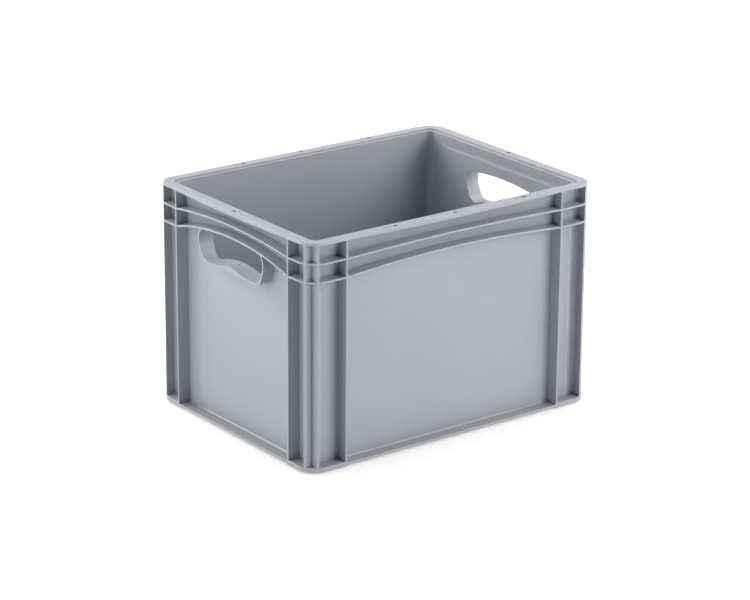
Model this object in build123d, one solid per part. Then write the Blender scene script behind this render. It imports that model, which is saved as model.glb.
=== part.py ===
"""Stacking plastic crate, one injection moulding, written as its named regions.

Frame: +Z up, +X along the long sides, origin at the centre of the footprint on the floor.
"Inset" below is the distance inwards from the outside envelope of the crate.
All sizes are millimetres.
"""

from build123d import *
import math
import os

# Overall
length = 400.0
width = 300.0
height = 265.0
outer_radius = 23.0

# Walls
wall_inset = 15.0
wall_thickness = 2.2
inner_radius = 7.5
flare_depth = 2.1
pad_step = 1.0
pad_drop = 13.4
pad_ramp = 3.6
pad_fade = 20.0
pad_end_gap = 7.0

# Rim
rim_thickness = 2.6
land_width = 12.3
seat_drop = 2.0
seat_thickness = 3.0
seat_lap = 2.0
skirt_thickness = 1.8
skirt_depth = 1.8
edge_round = 0.7
pin_mark_diameter = 5.2
pin_mark_depth = 2.2
pin_mark_inset = 5.6
pin_mark_stations = (-82.0, 0.0, 99.0)
slot_length = 13.0
slot_width = 2.0
slot_depth = 1.0
slot_gap = 2.2

# Base
floor_thickness = 2.4
foot_depth = 1.8
side_lift = 1.0
foot_height = 5.8
side_height = 3.2
side_root = 1.1
ring_clearance = 0.3

# Ribs
rib_thickness = 2.2
rib_round = 0.6
upper_rib_level = 241.2
lower_rib_level = 220.3
upper_rise_long = 3.1
lower_rise_long = 6.9
upper_rise_end = 7.3
lower_rise_end = 14.9

# Vertical plates
post_x = length / 2 - 49.5
post_y = width / 2 - 41.5
post_edge = 2.3
post_root = 3.0
plate_inset = 12.9
plate_thickness = 2.3
plate_round = 0.5
root_lap = 0.85

# Hand grip
grip_wall = 1.9
grip_half_width = 63.7
grip_widest_level = 218.5
grip_crown_inset = 6.2
grip_heel_inset = 5.4
grip_lobe_inset = 17.2
grip_level = 193.2
grip_draft = 0.4
grip_roof_lift = 1.5
grip_underside = ((0, 1.2), (22, 0.9), (34, 0.5))
grip_hump_outside = ((0, 5.5), (6, 5.2), (12, 3.7), (18, 1.9), (24, 0.8), (34, 0.1))
grip_hump_inside = ((0, 7.7), (9, 7.3), (18, 6.2), (27, 4.7), (36, 2.5))
grip_mark_diameter = 2.8
grip_mark_inset = 12.0
grip_mark_level = 200.4

# Derived places
inner_inset = wall_inset + wall_thickness
corner_zone = inner_inset + inner_radius
ring_height = foot_depth + side_lift
foot_top = foot_depth + foot_height
side_top = ring_height + side_height
floor_top = ring_height + floor_thickness
seat_top = height - seat_drop
wall_top = seat_top - seat_thickness
land_bottom = height - rim_thickness
root_chamfer = wall_inset - plate_inset - plate_thickness / 2 + root_lap
half_length = length / 2
half_width = width / 2
span_x = post_x - post_root / 2
span_y = post_y - post_root / 2
far = length

SIDES = ("front", "back", "left", "right")
CORNERS = {
    "front_left": (-1, -1),
    "front_right": (1, -1),
    "back_left": (-1, 1),
    "back_right": (1, 1),
}

parts = {}


def box(x0, x1, y0, y1, z0, z1):
    """A box given by its two faces on each axis."""
    block = Box(x1 - x0, y1 - y0, z1 - z0)
    return Pos((x0 + x1) / 2, (y0 + y1) / 2, (z0 + z1) / 2) * block


def outline(inset, radius):
    """The crate's plan outline, moved inwards."""
    return RectangleRounded(length - 2 * inset, width - 2 * inset, radius)


def slab(inset, radius, z0, z1):
    """A full slab of the plan outline between two levels."""
    return Pos(0, 0, z0) * extrude(outline(inset, radius), z1 - z0)


def rounded_slab(z0, z1, radius, top=True, bottom=True):
    """A slab out to the envelope, with its outside edges rounded."""
    body = slab(0, outer_radius, z0, z1)
    loops = body.edges().group_by(Axis.Z)
    chosen = []
    if top:
        chosen += list(loops[-1])
    if bottom:
        chosen += list(loops[0])
    return fillet(chosen, radius)


def solids_of(shape):
    """The solids of a boolean result as one shape that can be written out."""
    found = shape.solids()
    if len(found) == 1:
        return found[0]
    return Compound(children=list(found))


def cut(shape, *tools):
    """Shape without the tools."""
    for tool in tools:
        shape = shape - tool
    return shape


def corner_box(sx, sy, x0, y0, z0, z1):
    """The box from (x0, y0) outwards in one quadrant."""
    xs = sorted((sx * x0, sx * far))
    ys = sorted((sy * y0, sy * far))
    return box(xs[0], xs[1], ys[0], ys[1], z0, z1)


def side_box(side, reach, depth, z0, z1):
    """The box along one side: reach to each end of its middle, depth inwards."""
    if side == "front":
        return box(-reach, reach, -far, -half_width + depth, z0, z1)
    if side == "back":
        return box(-reach, reach, half_width - depth, far, z0, z1)
    if side == "left":
        return box(-far, -half_length + depth, -reach, reach, z0, z1)
    return box(half_length - depth, far, -reach, reach, z0, z1)


def opposite(shape, side):
    """A front or left shape, mirrored where it stands for the back or right."""
    if side == "back":
        return mirror(shape, Plane.XZ)
    if side == "right":
        return mirror(shape, Plane.YZ)
    return shape


def is_long(side):
    return side in ("front", "back")


def side_section(points, side, reach):
    """Extrudes a section of (inset, level) points along a front or left side."""
    if is_long(side):
        corners = [(-reach, -half_width + inset, z) for inset, z in points]
        direction = (1, 0, 0)
    else:
        corners = [(-half_length + inset, -reach, z) for inset, z in points]
        direction = (0, 1, 0)
    face = make_face(Polyline(*corners, close=True))
    return extrude(face, 2 * reach, dir=direction)


def facing(side, x, z, inset):
    """A point on a plane parallel to a front or left side."""
    if is_long(side):
        return (x, -half_width + inset, z)
    return (-half_length + inset, x, z)


def inwards(side):
    return (0, 1, 0) if is_long(side) else (1, 0, 0)


# ---------------------------------------------------------------- rim

def rim_ring():
    """The flat land with the lower seat inside it, all round."""
    land = rounded_slab(land_bottom, height, edge_round, bottom=False)
    land_inner = outer_radius - land_width
    hole = slab(land_width, land_inner, land_bottom - 1, height + 1)
    land = land - hole
    inside_loop = land.edges().group_by(Axis.Z)[-1]
    inside_loop = [e for e in inside_loop if not touches_outside(e)]
    land = fillet(inside_loop, edge_round)
    lap_inset = land_width - seat_lap
    seat = slab(lap_inset, outer_radius - lap_inset, wall_top, seat_top)
    seat = seat - slab(inner_inset, inner_radius, wall_top - 1, seat_top + 1)
    return land + seat


def touches_outside(edge):
    """True where an edge lies close to the envelope."""
    box_of = edge.bounding_box()
    reach_x = max(abs(box_of.min.X), abs(box_of.max.X))
    reach_y = max(abs(box_of.min.Y), abs(box_of.max.Y))
    limit = land_width / 2
    return reach_x > half_length - limit or reach_y > half_width - limit


def rim_skirt(side):
    """The lip under the land's outside edge, deepest at mid side."""
    reach = span_x if is_long(side) else span_y
    ends = facing(side, -reach, land_bottom, 0), facing(side, reach, land_bottom, 0)
    middle = facing(side, 0, land_bottom - skirt_depth, 0)
    profile = ThreePointArc(ends[0], middle, ends[1]) + Line(ends[1], ends[0])
    return extrude(make_face(profile), skirt_thickness, dir=inwards(side))


def pin_mark(x, y):
    mark = Cylinder(pin_mark_diameter / 2, 2 * pin_mark_depth)
    return Pos(x, y, height) * mark


def drain_slot(x, y):
    """The shallow slot that runs up to an outer pin mark."""
    start = x - slot_gap - slot_length
    x1 = x - slot_gap
    return box(start, x1, y - slot_width / 2, y + slot_width / 2, height - slot_depth, height + 1)


def rim_marks(side):
    """Pin marks and slots on the land of a front or left side."""
    if not is_long(side):
        return [pin_mark(-half_length + pin_mark_inset, 0)]
    y = -half_width + pin_mark_inset
    marks = [pin_mark(x, y) for x in pin_mark_stations]
    marks += [drain_slot(x, y) for x in pin_mark_stations if x != 0]
    return marks


def make_rim():
    ring = rim_ring()
    z0 = wall_top - 1
    z1 = height + 1
    for side in SIDES:
        reach = (half_length if is_long(side) else half_width) - corner_zone
        source = "front" if is_long(side) else "left"
        piece = ring & side_box(source, reach, corner_zone, z0, z1)
        piece = cut(piece + rim_skirt(source), *rim_marks(source))
        parts["rim_" + side] = opposite(piece, side)
    for name, (sx, sy) in CORNERS.items():
        x0 = half_length - corner_zone
        y0 = half_width - corner_zone
        parts["rim_corner_" + name] = ring & corner_box(sx, sy, x0, y0, z0, z1)


# ---------------------------------------------------------------- base

def flange_root(side, reach):
    """The small slope between the base flange and the wall that stands on it."""
    corner = wall_inset, side_top
    points = [corner, (wall_inset, side_top + side_root), (wall_inset - side_root, side_top)]
    return side_section(points, side, reach)


def make_base():
    parts["floor"] = slab(inner_inset, inner_radius, ring_height, floor_top)
    ring_inset = land_width + ring_clearance
    ring = slab(ring_inset, outer_radius - ring_inset, 0, ring_height)
    ring = ring - slab(inner_inset, inner_radius, -1, ring_height + 1)
    parts["foot_ring"] = ring
    hollow = slab(inner_inset, inner_radius, -1, height)
    flange = rounded_slab(ring_height, side_top, rib_round) - hollow
    foot = rounded_slab(foot_depth, foot_top, rib_round) - hollow - ring
    for side in SIDES:
        source = "front" if is_long(side) else "left"
        reach = span_x if is_long(side) else span_y
        ledge = flange & side_box(source, reach, inner_inset, 0, foot_top)
        parts["base_flange_" + side] = opposite(ledge + flange_root(source, reach), side)
    for name, (sx, sy) in CORNERS.items():
        parts["corner_foot_" + name] = foot & corner_box(sx, sy, span_x, span_y, 0, foot_top)


# ---------------------------------------------------------------- walls

def wall_points(bottom):
    """The wall's section: straight, then flared outwards under the rim."""
    return [
        (wall_inset, bottom),
        (inner_inset, bottom),
        (inner_inset, wall_top),
        (wall_inset - flare_depth, wall_top),
        (wall_inset, upper_rib_level),
    ]


def end_pad():
    """The inside face of an end wall stands in a little, up to a level step."""
    reach = half_width - corner_zone
    step = height - pad_drop
    x0 = -half_length + inner_inset
    x1 = x0 + pad_step
    flat = reach - pad_end_gap - pad_fade
    fade = reach - pad_end_gap
    plan = Polyline((x0, -fade), (x1, -flat), (x1, flat), (x0, fade), close=True)
    plan = Pos(0, 0, floor_top) * extrude(make_face(plan), step - floor_top)
    ramp = side_section(
        [
            (inner_inset, floor_top),
            (inner_inset + pad_step, floor_top),
            (inner_inset + pad_step, step - pad_ramp),
            (inner_inset, step),
        ],
        "left",
        reach,
    )
    return plan & ramp


def make_walls(grip_hole):
    for side in SIDES:
        source = "front" if is_long(side) else "left"
        reach = (half_length if is_long(side) else half_width) - corner_zone
        wall = side_section(wall_points(side_top), source, reach)
        wall = cut(wall, *[parts["corner_foot_" + name] for name in CORNERS])
        if not is_long(side):
            wall = (wall + end_pad()) - grip_hole
        name = ("long_wall_" if is_long(side) else "end_wall_") + side
        parts[name] = opposite(wall, side)
    for name, (sx, sy) in CORNERS.items():
        points = [(corner_zone - inset, 0, z) for inset, z in wall_points(foot_top)]
        column = revolve(make_face(Polyline(*points, close=True)), Axis.Z, 90)
        column = Rot(0, 0, quadrant_turn(sx, sy)) * column
        x = sx * (half_length - corner_zone)
        y = sy * (half_width - corner_zone)
        parts["wall_corner_" + name] = Pos(x, y, 0) * column


def quadrant_turn(sx, sy):
    """The turn that takes the +X +Y quadrant to another one."""
    return {(1, 1): 0, (-1, 1): 90, (-1, -1): 180, (1, -1): 270}[(sx, sy)]


# ---------------------------------------------------------------- ribs

def arch_radius(reach, rise):
    """Radius of the arc that climbs by rise from reach to the middle."""
    return (reach**2 + rise**2) / (2 * rise)


def rib_section(side, level):
    """A rib's section at mid side, its outside edges turned in short flats."""
    half = rib_thickness / 2
    turn = [math.radians(angle) for angle in (90, 60, 30, 0)]
    round_over = [(rib_round * (1 - math.cos(t)), half - rib_round * (1 - math.sin(t))) for t in turn]
    round_under = [(inset, -rise) for inset, rise in reversed(round_over)]
    points = [(wall_inset, half)] + round_over + round_under + [(wall_inset, -half)]
    corners = [facing(side, 0, level + rise, inset) for inset, rise in points]
    return make_face(Polyline(*corners, close=True))


def rib_arch(side, level, rise):
    """The arched stretch of a rib between the middles of a side's two posts."""
    reach = post_x if is_long(side) else post_y
    centre = level + rise - arch_radius(reach, rise)
    axis = Axis(facing(side, 0, centre, 0), inwards(side))
    hoop = revolve(rib_section(side, level + rise), axis, 360)
    return hoop & side_box(side, reach, wall_inset, level - rib_thickness, level + rise + rib_thickness)


def level_ring(level):
    half = rib_thickness / 2
    ring = rounded_slab(level - half, level + half, rib_round)
    return ring - slab(wall_inset, corner_zone - wall_inset, level - rib_thickness, level + rib_thickness)


def make_ribs(posts, plates, walls):
    """Ribs run between the posts and the corner plates, and round the notches."""
    table = {
        "upper_rib_": (upper_rib_level, upper_rise_long, upper_rise_end),
        "lower_rib_": (lower_rib_level, lower_rise_long, lower_rise_end),
    }
    notch = {name: [] for name in CORNERS}
    for prefix, (level, rise_long, rise_end) in table.items():
        laid = []
        ring = level_ring(level)
        z0 = level - rib_thickness
        z1 = level + rib_thickness
        for side in SIDES:
            source = "front" if is_long(side) else "left"
            rise = rise_long if is_long(side) else rise_end
            arch = opposite(rib_arch(source, level, rise), side)
            reach = post_x if is_long(side) else post_y
            end = half_length if is_long(side) else half_width
            strip = ring & side_box(side, end - plate_inset, wall_inset, z0, z1)
            strip = strip - side_box(side, reach, wall_inset, z0, z1)
            pieces = [cut(piece, *posts, *plates, *walls) for piece in (arch, cut(strip, *laid))]
            laid.append(strip)
            parts[prefix + side] = pieces[0] + pieces[1]
        for name, (sx, sy) in CORNERS.items():
            x0 = half_length - plate_inset
            y0 = half_width - plate_inset
            piece = ring & corner_box(sx, sy, x0, y0, z0, z1)
            notch[name].append(cut(piece, *plates))
    for name, pieces in notch.items():
        parts["notch_ribs_" + name] = pieces[0] + pieces[1]


# ---------------------------------------------------------------- posts and corner plates

def make_posts():
    """Two full-height plates on each side, wider at the root."""
    root_inset = wall_inset + wall_thickness / 2
    for side in SIDES:
        source = "front" if is_long(side) else "left"
        station = post_x if is_long(side) else post_y
        for label, sign in (("a", -1), ("b", 1)):
            corners = [
                facing(source, sign * station - post_edge / 2, foot_top, 0),
                facing(source, sign * station + post_edge / 2, foot_top, 0),
                facing(source, sign * station + post_root / 2, foot_top, root_inset),
                facing(source, sign * station - post_root / 2, foot_top, root_inset),
            ]
            face = make_face(Polyline(*corners, close=True))
            post = extrude(face, land_bottom - foot_top, dir=(0, 0, 1))
            parts["post_" + side + "_" + label] = opposite(post, side)


def soften(name, post):
    """Rounds the outside edges of a post."""
    side = name.split("_")[1]
    axis = Axis.Y if is_long(side) else Axis.X
    groups = post.edges().filter_by(Axis.Z).group_by(axis)
    outer = groups[0] if side in ("front", "left") else groups[-1]
    return fillet(outer, plate_round)


def plate_root(sx, sy, x_in, y_in):
    """Fills in between the rounded wall corner and the inside faces of the two plates."""
    x_wall = half_length - wall_inset
    y_wall = half_width - wall_inset
    x0 = half_length - corner_zone
    y0 = half_width - corner_zone
    plan = [
        (x0, y0),
        (x_wall, y0),
        (x_wall, y_in - root_chamfer),
        (x_wall + root_chamfer, y_in),
        (x_in + plate_thickness / 2, y_in + plate_thickness / 2),
        (x_in, y_wall + root_chamfer),
        (x_in - root_chamfer, y_wall),
        (x0, y_wall),
    ]
    corners = [(sx * x, sy * y, foot_top) for x, y in plan]
    face = make_face(Polyline(*corners, close=True))
    root = extrude(face, land_bottom - foot_top, dir=(0, 0, 1))
    return root - slab(inner_inset, inner_radius, 0, height)


def make_plates():
    """Two plates that meet behind each corner and leave a notch outside them."""
    envelope = slab(0, outer_radius, foot_top, land_bottom)
    half = plate_thickness / 2
    x_in = half_length - plate_inset - half
    x_out = half_length - plate_inset + half
    y_in = half_width - plate_inset - half
    y_out = half_width - plate_inset + half
    for name, (sx, sy) in CORNERS.items():
        z0 = foot_top
        z1 = land_bottom
        block = corner_box(sx, sy, x_in, y_in, z0, z1)
        along_x = block - corner_box(sx, sy, x_in - 1, y_out, z0 - 1, z1 + 1)
        along_y = block - corner_box(sx, sy, x_out, y_in - 1, z0 - 1, z1 + 1)
        root = plate_root(sx, sy, x_in, y_in)
        parts["corner_plates_" + name] = (along_x + along_y + root) & envelope


# ---------------------------------------------------------------- hand grips

def rib_underside(y):
    """Level of the lower rib's underside over an end wall, at a distance from its middle."""
    radius = arch_radius(post_y, lower_rise_end)
    inside = radius - rib_thickness / 2
    centre = lower_rib_level + lower_rise_end - radius
    return centre + math.sqrt(inside**2 - y**2)


def mirrored(points):
    """The same points on the other side of mid width, in reverse order."""
    return [(x, -y, z) for x, y, z in reversed(points)]


def grip_outline(inset, shrink, level, hump, top):
    """The eye-shaped outline of a grip as a wire at one inset of the left end.

    Level is the outline's lowest level, hump its bottom line from mid width outwards, and top how far
    the roof stands over the underside of the lower rib.
    """
    x = -half_length + inset
    wide = grip_half_width - shrink
    heel = wide - grip_heel_inset
    lobe = wide - grip_lobe_inset
    crown = wide - grip_crown_inset
    widest = grip_widest_level
    side = [
        [(crown, rib_underside(crown) + top), (wide - 2, widest + 9.5), (wide, widest + 5), (wide, widest)],
        [(wide, widest), (wide, widest - 6), (heel + 2, level + 11.5), (heel, level + 7)],
        [(heel, level + 7), (heel - 2, level + 2.5), (lobe + 5, level), (lobe, level)],
    ]
    curves = [[(x, y, z) for y, z in points] for points in side]
    half_floor = [(x, lobe, level)] + [(x, y, level + rise) for y, rise in reversed(hump)]
    floor_line = half_floor + mirrored(half_floor)[1:]
    edges = [Bezier(*points) for points in curves]
    edges.append(Spline(*floor_line, tangents=[(0, -1, 0), (0, -1, 0)]))
    edges += [Bezier(*mirrored(points)) for points in reversed(curves)]
    roof = (x, 0, rib_underside(0) + top)
    edges.append(ThreePointArc(edges[-1] @ 1, roof, edges[0] @ 0))
    return Wire([curve.edge() for curve in edges])


def make_grips():
    """The opening through an end wall, and the collar that lines it under the lower rib."""
    over = 1.0
    level = grip_level + grip_wall
    mouth = grip_outline(-over, grip_wall, level, grip_hump_outside, 0)
    throat_inset = inner_inset + pad_step + over
    throat = grip_outline(throat_inset, grip_wall + grip_draft, level, grip_hump_inside, grip_roof_lift)
    hole = Solid.make_loft([mouth, throat])
    skin = grip_outline(0, 0, grip_level, grip_underside, rib_thickness / 2)
    collar = extrude(Face(skin), wall_inset, dir=(1, 0, 0))
    collar = collar - hole - rib_arch("left", lower_rib_level, lower_rise_end)
    mark = Cylinder(grip_mark_diameter / 2, grip_widest_level - grip_mark_level)
    mark_x = -half_length + grip_mark_inset
    mark = Pos(mark_x, 0, (grip_widest_level + grip_mark_level) / 2) * mark
    return hole, largest(collar - mark)


def largest(shape):
    """The biggest solid of a shape, without the slivers left above the rib."""
    return max(shape.solids(), key=lambda s: s.volume)


# ---------------------------------------------------------------- build

make_rim()
make_base()
grip_hole, grip_collar = make_grips()
make_walls(grip_hole)
make_posts()
make_plates()

wall_names = [n for n in parts if "wall" in n]
post_names = [n for n in parts if n.startswith("post_")]
plate_names = [n for n in parts if n.startswith("corner_plates_")]
rim_names = [n for n in parts if n.startswith("rim_")]
walls = [parts[n] for n in wall_names]
rims = [parts[n] for n in rim_names]

for name in post_names + plate_names:
    parts[name] = cut(parts[name], *walls, *rims)

posts = [parts[n] for n in post_names]
plates = [parts[n] for n in plate_names]
make_ribs(posts, plates, walls)
for name in post_names:
    parts[name] = soften(name, parts[name])

parts["grip_collar_left"] = grip_collar
parts["grip_collar_right"] = mirror(grip_collar, Plane.YZ)

os.makedirs("parts", exist_ok=True)
for name, shape in parts.items():
    export_step(solids_of(shape), f"parts/{name}.step")
print(len(parts), "nodes written")
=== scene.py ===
"""Looks for the stacking crate: one satin grey plastic, soft studio light, pale floor."""

import math

import bpy
from mathutils import Matrix, Vector

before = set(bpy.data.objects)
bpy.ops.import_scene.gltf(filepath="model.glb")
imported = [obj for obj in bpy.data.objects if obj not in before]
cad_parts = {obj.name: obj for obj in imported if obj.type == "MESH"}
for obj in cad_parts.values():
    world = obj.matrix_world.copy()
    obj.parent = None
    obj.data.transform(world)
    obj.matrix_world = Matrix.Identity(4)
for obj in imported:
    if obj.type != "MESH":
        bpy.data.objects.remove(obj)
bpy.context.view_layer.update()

PLASTIC_GREY = (0.304, 0.318, 0.347, 1)
# Lighter edge colour: partly rubbed wear, partly a painted highlight on the edges.
RUBBED_AND_HIGHLIGHT_GREY = (0.40, 0.415, 0.445, 1)
WHITE = (1, 1, 1, 1)
FLOOR_SIZE = 12.0


# ---------------------------------------------------------------- small helpers

def node_tree(name):
    """A new material and a function that adds linked nodes to it."""
    material = bpy.data.materials.new(name)
    material.use_nodes = True
    tree = material.node_tree
    tree.nodes.clear()

    def add(kind, inputs=None, **settings):
        node = tree.nodes.new("ShaderNode" + kind)
        for key, value in settings.items():
            setattr(node, key, value)
        for key, value in (inputs or {}).items():
            if isinstance(value, bpy.types.NodeSocket):
                tree.links.new(value, node.inputs[key])
            else:
                node.inputs[key].default_value = value
        return node

    return material, add


def noise(add, where, scale, detail=2.0, roughness=0.5):
    """Fractal noise at a scale in features per metre."""
    made = add(
        "TexNoise",
        {"Vector": where, "Scale": scale, "Detail": detail, "Roughness": roughness},
    )
    return made.outputs["Fac"]


def remap(add, value, low, high, to_low, to_high):
    """Value carried from one range to another, clamped at its ends."""
    made = add(
        "MapRange",
        {
            "Value": value,
            "From Min": low,
            "From Max": high,
            "To Min": to_low,
            "To Max": to_high,
        },
    )
    return made.outputs["Result"]


def maths(add, operation, a, b):
    """The sum, difference or product of two values."""
    return add("Math", {0: a, 1: b}, operation=operation).outputs[0]


# ---------------------------------------------------------------- plastic

def crate_plastic():
    """Injection-moulded plastic: satin, fine texture, slight flow variation, edges lightened
    partly by rubbed wear and partly by a painted highlight.
    """
    material, add = node_tree("crate_plastic")
    where = add("TexCoord").outputs["Object"]

    flow = noise(add, where, 9.0, 3.0, 0.55)
    mottle = noise(add, where, 60.0, 4.0, 0.6)
    grain = noise(add, where, 2600.0, 2.0, 0.6)
    fine = noise(add, where, 900.0, 3.0, 0.6)

    # Edge mask from the bevel normal. The edges get a lighter colour, partly as rubbed wear
    # and partly as a painted highlight where light catches the fillets.
    edge_normal = add("Bevel", {"Radius": 0.0012}, samples=4).outputs["Normal"]
    true_normal = add("NewGeometry").outputs["Normal"]
    turn = add("VectorMath", {0: edge_normal, 1: true_normal}, operation="DOT_PRODUCT")
    edge = remap(add, turn.outputs["Value"], 1.0, 0.86, 0.0, 1.0)
    rub_and_highlight = maths(add, "MULTIPLY", edge, remap(add, mottle, 0.4, 0.62, 0.35, 1.0))

    shade = remap(add, flow, 0.3, 0.7, 0.975, 1.02)
    shade = maths(add, "ADD", shade, remap(add, mottle, 0.3, 0.7, -0.012, 0.012))
    shade = maths(add, "ADD", shade, remap(add, fine, 0.3, 0.7, -0.02, 0.02))
    base = add("Mix", {"Factor": rub_and_highlight, "A": PLASTIC_GREY, "B": RUBBED_AND_HIGHLIGHT_GREY}, data_type="RGBA")
    colour = add("HueSaturation", {"Value": shade, "Color": base.outputs["Result"]})

    rough = remap(add, mottle, 0.3, 0.7, 0.40, 0.47)
    rough = maths(add, "SUBTRACT", rough, maths(add, "MULTIPLY", rub_and_highlight, 0.06))

    skin = add("Bump", {"Strength": 0.10, "Distance": 0.0002, "Height": grain})
    sink = add(
        "Bump",
        {
            "Strength": 0.25,
            "Distance": 0.0010,
            "Height": noise(add, where, 22.0, 1.0, 0.4),
            "Normal": skin.outputs["Normal"],
        },
    )

    shader = add(
        "BsdfPrincipled",
        {
            "Base Color": colour.outputs["Color"],
            "Roughness": rough,
            "Normal": sink.outputs["Normal"],
            "IOR": 1.49,
        },
    )
    add("OutputMaterial", {"Surface": shader.outputs["BSDF"]})
    return material


plastic = crate_plastic()
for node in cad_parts.values():
    node.data.materials.clear()
    node.data.materials.append(plastic)


# ---------------------------------------------------------------- floor, light and camera

def plane(name, size):
    """A square at floor level."""
    half = size / 2
    mesh = bpy.data.meshes.new(name)
    corners = [(-half, -half, 0), (half, -half, 0), (half, half, 0), (-half, half, 0)]
    mesh.from_pydata(corners, [], [(0, 1, 2, 3)])
    made = bpy.data.objects.new(name, mesh)
    bpy.context.scene.collection.objects.link(made)
    return made


def floor_material():
    """Pale matte floor that glows a little, and more with distance from the crate."""
    material, add = node_tree("studio_floor")
    where = add("TexCoord").outputs["Object"]
    cloud = noise(add, where, 1.5, 2.0, 0.5)
    shade = remap(add, cloud, 0.3, 0.7, 0.59, 0.60)
    tint = add("CombineColor", {"Red": shade, "Green": shade, "Blue": shade}).outputs["Color"]
    away = add("VectorMath", {0: where}, operation="LENGTH").outputs["Value"]
    glow = remap(add, away, 1.0, 2.6, 0.42, 1.1)
    shader = add(
        "BsdfPrincipled",
        {
            "Base Color": tint,
            "Roughness": 0.9,
            "Specular IOR Level": 0.1,
            "Emission Color": WHITE,
            "Emission Strength": glow,
        },
    )
    add("OutputMaterial", {"Surface": shader.outputs["BSDF"]})
    return material


floor = plane("studio_floor", FLOOR_SIZE)
floor.data.materials.append(floor_material())


def area_light(name, place, target, size, power):
    """A white rectangular softbox that faces its target."""
    data = bpy.data.lights.new(name, "AREA")
    data.shape = "RECTANGLE"
    data.size, data.size_y = size
    data.energy = power
    lamp = bpy.data.objects.new(name, data)
    bpy.context.scene.collection.objects.link(lamp)
    lamp.location = Vector(place)
    aim = Vector(target) - Vector(place)
    lamp.rotation_mode = "QUATERNION"
    lamp.rotation_quaternion = aim.to_track_quat("-Z", "Y")


SOFTBOXES = (
    # name, place, target, size, power
    ("left_high", (-1.7, 1.3, 1.7), (0, 0, 0.12), (1.6, 1.5), 14.8),
    ("left_low", (-2.3, 0.2, 0.9), (0, 0, 0.12), (1.6, 1.5), 31.5),
    ("back_left", (-0.5, 1.6, 1.2), (0, 0, 0.2), (1.6, 1.2), 40.6),
    ("back_right", (1.6, 0.1, 1.3), (0, 0, 0.2), (1.6, 1.2), 29.6),
    ("right_low", (0.9, -2.2, 0.95), (0, 0, 0.12), (1.6, 1.5), 41.0),
    ("right_high", (1.5, -1.3, 1.7), (0, 0, 0.12), (1.6, 1.5), 23.2),
    ("overhead", (0.0, 0.1, 2.6), (0, 0, 0.2), (0.9, 0.7), 6.0),
    ("rear_low", (1.45, 1.9, 1.1), (0, 0, 0.26), (1.6, 1.2), 5.5),
)
for name, place, target, size, power in SOFTBOXES:
    area_light(name, place, target, size, power)

# The camera sees white beyond the floor; the world gives the crate no light.
world = bpy.data.worlds.new("studio")
world.use_nodes = True
backdrop = world.node_tree.nodes["Background"]
backdrop.inputs["Color"].default_value = WHITE
seen = world.node_tree.nodes.new("ShaderNodeLightPath")
world.node_tree.links.new(seen.outputs["Is Camera Ray"], backdrop.inputs["Strength"])
bpy.context.scene.world = world


def photo_camera():
    """The camera's place, turn and lens, in the crate's frame."""
    azimuth = math.radians(-37.086)
    elevation = math.radians(19.209)
    roll = math.radians(0.427)
    forward = Vector(
        (
            -math.sin(azimuth) * math.cos(elevation),
            math.cos(azimuth) * math.cos(elevation),
            -math.sin(elevation),
        )
    )
    level_right = Vector((math.cos(azimuth), math.sin(azimuth), 0))
    level_up = level_right.cross(forward)
    right = math.cos(roll) * level_right + math.sin(roll) * level_up
    up = right.cross(forward)
    data = bpy.data.cameras.new("photo_camera")
    data.sensor_width = 36.0
    data.lens = 143.50
    data.clip_start, data.clip_end = 0.1, 50
    camera = bpy.data.objects.new("photo_camera", data)
    bpy.context.scene.collection.objects.link(camera)
    turn = Matrix((right, up, -forward)).transposed()
    camera.matrix_world = Matrix.Translation((-1.9561, -2.5882, 1.2523)) @ turn.to_4x4()
    return camera


bpy.context.scene.camera = photo_camera()
bpy.context.scene.view_settings.view_transform = "Standard"
